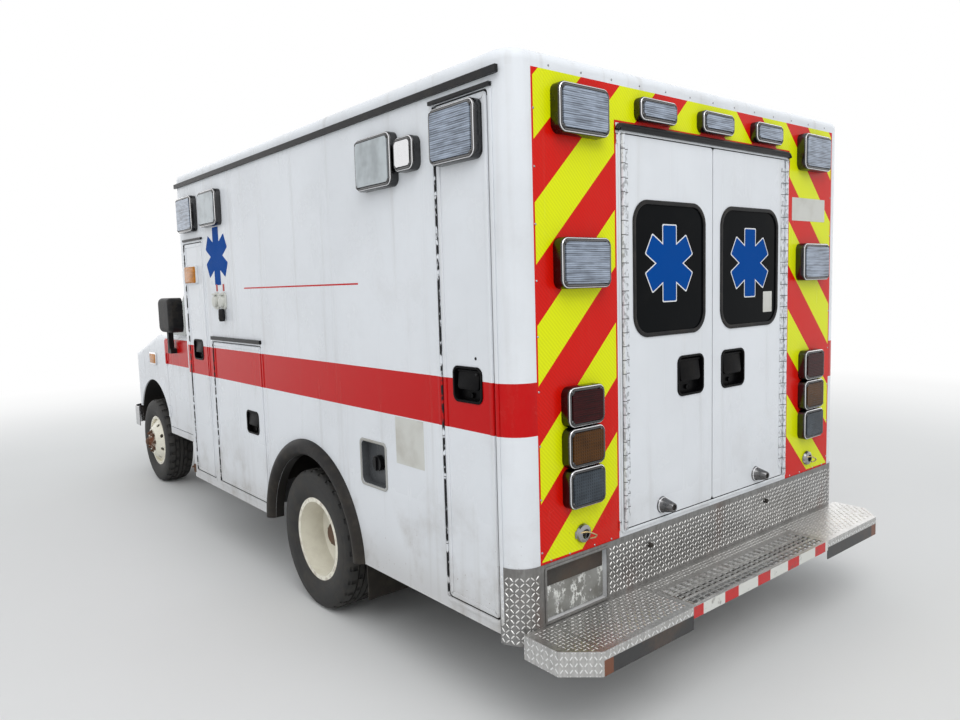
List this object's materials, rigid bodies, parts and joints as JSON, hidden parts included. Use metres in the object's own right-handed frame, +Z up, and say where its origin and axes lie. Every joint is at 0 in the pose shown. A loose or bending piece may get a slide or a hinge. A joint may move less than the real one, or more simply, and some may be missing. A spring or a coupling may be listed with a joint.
{
  "type": "box-body ambulance",
  "caption": "Ambulance with a van cab and a box patient module: hinged cab, side and rear doors, lifting hood, steered front wheels, twin rear wheels and a grip-plate rear step.",
  "frame": {"origin": "on the ground under the middle of the overall length and width", "axes": "+Z up, -Y to the nose, +X to the vehicle's left side"},
  "size_m": [2.501, 6.18, 2.505],
  "materials": {
    "black_rubber": "matte",
    "chrome": "polished",
    "clear_glass": "gloss",
    "dark_glass": "gloss",
    "dark_trim": "satin",
    "dash_plastic": "matte",
    "door_paint": "gloss",
    "engine_iron": "matte",
    "frame_steel": "matte",
    "hood_paint": "gloss",
    "interior_lining": "satin",
    "lamp": "gloss",
    "locker_sheet": "brushed",
    "seat_vinyl": "satin",
    "tail_lamp": "gloss",
    "tread_plate": "embossed",
    "tyre": "matte",
    "wheel_paint": "semi gloss",
    "white_paint": "gloss"
  },
  "bodies": {
    "chassis": {"cab_body": "white_paint", "cab_boot": "black_rubber", "cab_floor": "dash_plastic", "dashboard": "dash_plastic", "drip_rails": "dark_trim", "engine": "engine_iron", "frame_rails": "frame_steel", "front_beams": "frame_steel", "front_bumper": "chrome", "front_panels": "white_paint", "grille": "chrome", "headlamps": "lamp", "kick_panel": "tread_plate", "lockers": "locker_sheet", "module_floor": "interior_lining", "module_front_wall": "white_paint", "module_rear_frame": "white_paint", "module_roof": "white_paint", "module_side_walls": "white_paint", "patient_furniture": "interior_lining", "rear_axle": "frame_steel", "rear_step": "tread_plate", "seat_cushions": "seat_vinyl", "step_grating": "tread_plate", "tail_lamps": "tail_lamp", "tank_and_exhaust": "frame_steel", "warning_lights": "lamp", "wheel_flares": "black_rubber", "windscreen": "clear_glass"},
    "left_rear_door": {"rear_left_door": "door_paint", "rear_left_window": "dark_glass"},
    "right_rear_door": {"rear_right_door": "door_paint", "rear_right_window": "dark_glass"},
    "left_front_door": {"left_cab_door": "door_paint", "left_cab_window": "clear_glass", "left_mirror": "dark_trim"},
    "right_front_door": {"right_cab_door": "door_paint", "right_cab_window": "clear_glass", "right_mirror": "dark_trim"},
    "engine_hood": {"hood": "hood_paint"},
    "left_rear_wheel_pair": {"rear_left_tyres": "tyre", "rear_left_wheels": "wheel_paint"},
    "right_rear_wheel_pair": {"rear_right_tyres": "tyre", "rear_right_wheels": "wheel_paint"},
    "left_front_wheel": {"front_left_tyre": "tyre", "front_left_wheel": "wheel_paint"},
    "right_front_wheel": {"front_right_tyre": "tyre", "front_right_wheel": "wheel_paint"},
    "left_steering_knuckle": {"left_knuckle": "frame_steel"},
    "right_steering_knuckle": {"right_knuckle": "frame_steel"},
    "left_front_locker_door": {"left_front_locker_door": "door_paint"},
    "left_middle_locker_door": {"left_middle_locker_door": "door_paint"},
    "left_rear_locker_door": {"left_rear_locker_door": "door_paint", "left_locker_lamp": "lamp"},
    "right_front_locker_door": {"right_front_locker_door": "door_paint"},
    "side_entry_door": {"side_entry_door": "door_paint", "side_entry_window": "dark_glass"},
    "right_rear_locker_door": {"right_rear_locker_door": "door_paint", "right_locker_lamp": "lamp"}
  },
  "joints": [
    {"name": "left_front_locker_door_hinge", "type": "hinge", "parent": "chassis", "child": "left_front_locker_door", "pos_m": [1.2075, -0.55, 1.239], "axis": [0, 0, -1], "range_deg": [0, 95]},
    {"name": "left_middle_locker_door_hinge", "type": "hinge", "parent": "chassis", "child": "left_middle_locker_door", "pos_m": [1.2075, -0.109, 0.915], "axis": [0, 0, -1], "range_deg": [0, 95]},
    {"name": "left_rear_locker_door_hinge", "type": "hinge", "parent": "chassis", "child": "left_rear_locker_door", "pos_m": [1.2075, 2.388, 1.407], "axis": [0, 0, -1], "range_deg": [0, 95]},
    {"name": "right_front_locker_door_hinge", "type": "hinge", "parent": "chassis", "child": "right_front_locker_door", "pos_m": [-1.2075, -0.55, 1.239], "axis": [0, 0, 1], "range_deg": [0, 95]},
    {"name": "side_entry_door_hinge", "type": "hinge", "parent": "chassis", "child": "side_entry_door", "pos_m": [-1.2075, -0.109, 1.253], "axis": [0, 0, 1], "range_deg": [0, 95]},
    {"name": "right_rear_locker_door_hinge", "type": "hinge", "parent": "chassis", "child": "right_rear_locker_door", "pos_m": [-1.2075, 2.388, 1.407], "axis": [0, 0, 1], "range_deg": [0, 95]},
    {"name": "left_rear_door_hinge", "type": "hinge", "parent": "chassis", "child": "left_rear_door", "pos_m": [0.62, 2.82, 1.472], "axis": [0, 0, -1], "range_deg": [0, 155]},
    {"name": "left_front_door_hinge", "type": "hinge", "parent": "chassis", "child": "left_front_door", "pos_m": [0.977, -1.878, 0.9], "axis": [0, 0, -1], "range_deg": [0, 65]},
    {"name": "left_steering", "type": "hinge", "parent": "chassis", "child": "left_steering_knuckle", "pos_m": [0.8, -2.323, 0.372], "axis": [0, 0, 1], "range_deg": [-30, 30]},
    {"name": "left_front_wheel_spin", "type": "hinge", "parent": "left_steering_knuckle", "child": "left_front_wheel", "pos_m": [0.88, -2.323, 0.372], "axis": [1, 0, 0], "continuous": true},
    {"name": "left_rear_wheel_spin", "type": "hinge", "parent": "chassis", "child": "left_rear_wheel_pair", "pos_m": [0.9445, 1.182, 0.372], "axis": [1, 0, 0], "continuous": true},
    {"name": "right_rear_door_hinge", "type": "hinge", "parent": "chassis", "child": "right_rear_door", "pos_m": [-0.62, 2.82, 1.472], "axis": [0, 0, 1], "range_deg": [0, 155]},
    {"name": "right_front_door_hinge", "type": "hinge", "parent": "chassis", "child": "right_front_door", "pos_m": [-0.977, -1.878, 0.9], "axis": [0, 0, 1], "range_deg": [0, 65]},
    {"name": "right_steering", "type": "hinge", "parent": "chassis", "child": "right_steering_knuckle", "pos_m": [-0.8, -2.323, 0.372], "axis": [0, 0, 1], "range_deg": [-30, 30]},
    {"name": "right_front_wheel_spin", "type": "hinge", "parent": "right_steering_knuckle", "child": "right_front_wheel", "pos_m": [-0.88, -2.323, 0.372], "axis": [1, 0, 0], "continuous": true},
    {"name": "right_rear_wheel_spin", "type": "hinge", "parent": "chassis", "child": "right_rear_wheel_pair", "pos_m": [-0.9445, 1.182, 0.372], "axis": [1, 0, 0], "continuous": true},
    {"name": "engine_hood_hinge", "type": "hinge", "parent": "chassis", "child": "engine_hood", "pos_m": [0, -2.2, 1.352], "axis": [-1, 0, 0], "range_deg": [0, 55]}
  ],
  "couplings": [
    {"joint": "right_steering", "follows": "left_steering", "ratio": 1}
  ]
}
